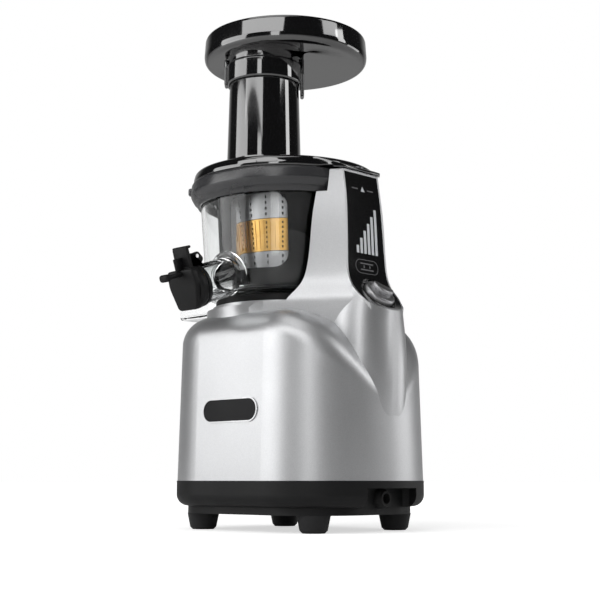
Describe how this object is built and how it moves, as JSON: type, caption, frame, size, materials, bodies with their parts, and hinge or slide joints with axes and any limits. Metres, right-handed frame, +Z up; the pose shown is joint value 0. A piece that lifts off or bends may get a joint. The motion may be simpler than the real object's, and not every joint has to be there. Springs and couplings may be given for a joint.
{
  "type": "cold press juicer",
  "caption": "Cold press juicer: tall silver housing with motor and gear train, clear bowl with strainer and auger, lidded feed tube with tray.",
  "frame": {"origin": "centre of the whole object's box, on the surface that its feet rest on", "axes": "+Z up; +X towards the control panel, the pulp chute is at -X; -Y towards the juice spout and the badge"},
  "size_m": [0.2266, 0.2122, 0.408],
  "materials": {
    "silver_housing": "satin silver, very fine grain",
    "black_gloss": "high gloss black",
    "black_plastic": "matte black, fine grain",
    "silver_trim": "satin aluminium",
    "white_plastic": "natural nylon",
    "grey_plastic": "glass-filled nylon",
    "steel": "plain steel",
    "dark_steel": "oiled laminations",
    "cast_alloy": "die cast",
    "copper": "enamelled winding wire",
    "bronze": "sintered bronze",
    "board_green": "coated circuit board",
    "black_rubber": "moulded rubber",
    "foot_rubber": "moulded rubber",
    "silicone": "soft silicone",
    "clear_bowl": "clear moulded copolyester",
    "smoky_clear": "smoke-tinted clear plastic",
    "gold_mesh": "gold-coated mesh",
    "dark_auger": "filled polyetherimide, satin"
  },
  "bodies": {
    "root": {"housing_shell": "silver_housing", "control_panel": "black_gloss", "panel_trim": "silver_trim", "knob_bezel": "black_gloss", "rotary_switch": "white_plastic", "lid_sensor": "black_plastic", "badge_rim": "silver_trim", "badge_plate": "black_gloss", "base_tray": "black_plastic", "bottom_plate": "black_plastic", "base_screws": "steel", "rubber_feet": "foot_rubber", "cord_inlet": "black_rubber", "circuit_board": "board_green", "board_relay": "black_plastic", "run_capacitor": "white_plastic", "motor_stator": "dark_steel", "stator_windings": "copper", "motor_bottom_frame": "cast_alloy", "motor_top_frame": "cast_alloy", "motor_bolts": "steel", "motor_isolators": "black_rubber", "motor_bearings": "bronze", "gearbox_case": "grey_plastic", "gearbox_cover": "grey_plastic", "gearbox_screws": "steel", "gear_bushes": "bronze", "shaft_seal": "black_rubber", "seat_deck": "black_plastic", "deck_screws": "steel"},
    "rotor": {"rotor_core": "dark_steel", "motor_shaft": "steel", "cooling_fan": "black_plastic"},
    "reduction": {"reduction_gear": "white_plastic", "reduction_pinion": "steel"},
    "drive": {"output_gear": "white_plastic", "drive_shaft": "steel"},
    "bowl": {"juice_bowl": "clear_bowl", "bowl_collar": "smoky_clear", "bowl_seal": "silicone", "idler_pin": "steel", "spout_ring": "black_plastic", "cap_pin": "steel", "strainer_base": "black_plastic", "strainer_mesh_low": "steel", "strainer_band": "gold_mesh", "strainer_mesh_top": "steel"},
    "auger": {"auger_screw": "dark_auger", "auger_pinion": "dark_auger", "auger_pin": "steel"},
    "idler": {"idler_gear": "white_plastic"},
    "brush": {"brush_frame": "smoky_clear", "brush_wipers": "silicone"},
    "lid": {"feed_lid": "black_gloss", "lid_magnet": "dark_steel"},
    "hopper": {"hopper_tray": "black_gloss"},
    "cap": {"spout_cap": "black_plastic", "cap_plug": "silicone", "cap_lever": "black_plastic"},
    "knob": {"control_knob": "silver_trim"}
  },
  "joints": [
    {"name": "rotor_spin", "type": "hinge", "parent": "root", "child": "rotor", "pos_m": [0.02525, 0.0274, 0], "axis": [0, 0, 1], "continuous": true},
    {"name": "reduction_spin", "type": "hinge", "parent": "root", "child": "reduction", "pos_m": [0.03088, 0.06205, 0], "axis": [0, 0, 1], "continuous": true},
    {"name": "drive_spin", "type": "hinge", "parent": "root", "child": "drive", "pos_m": [-0.00475, 0.0274, 0], "axis": [0, 0, 1], "continuous": true},
    {"name": "bowl_lift", "type": "slide", "parent": "root", "child": "bowl", "axis": [0, 0, 1], "range_m": [0, 0.05]},
    {"name": "auger_spin", "type": "hinge", "parent": "bowl", "child": "auger", "pos_m": [-0.00475, 0.0274, 0], "axis": [0, 0, 1], "continuous": true},
    {"name": "idler_spin", "type": "hinge", "parent": "bowl", "child": "idler", "pos_m": [0.00625, 0.04645, 0], "axis": [0, 0, 1], "continuous": true},
    {"name": "brush_spin", "type": "hinge", "parent": "bowl", "child": "brush", "pos_m": [-0.00475, 0.0274, 0], "axis": [0, 0, 1], "continuous": true},
    {"name": "lid_twist", "type": "hinge", "parent": "bowl", "child": "lid", "pos_m": [-0.00475, 0.0274, 0.285], "axis": [0, 0, 1], "range_deg": [0, 30]},
    {"name": "hopper_lift", "type": "slide", "parent": "lid", "child": "hopper", "axis": [0, 0, 1], "range_m": [0, 0.05]},
    {"name": "cap_hinge", "type": "hinge", "parent": "bowl", "child": "cap", "pos_m": [-0.00475, -0.07595, 0.20956], "axis": [-1, 0, 0], "range_deg": [0, 95]},
    {"name": "knob_turn", "type": "hinge", "parent": "root", "child": "knob", "pos_m": [0.09615, 0.0274, 0.1798], "axis": [0.7071, 0, 0.7071], "range_deg": [-45, 45]}
  ],
  "couplings": [
    {"joint": "reduction_spin", "follows": "rotor_spin", "ratio": -0.21875},
    {"joint": "drive_spin", "follows": "rotor_spin", "ratio": 0.053728},
    {"joint": "auger_spin", "follows": "rotor_spin", "ratio": 0.053728},
    {"joint": "idler_spin", "follows": "rotor_spin", "ratio": -0.030702},
    {"joint": "brush_spin", "follows": "rotor_spin", "ratio": -0.01194}
  ]
}
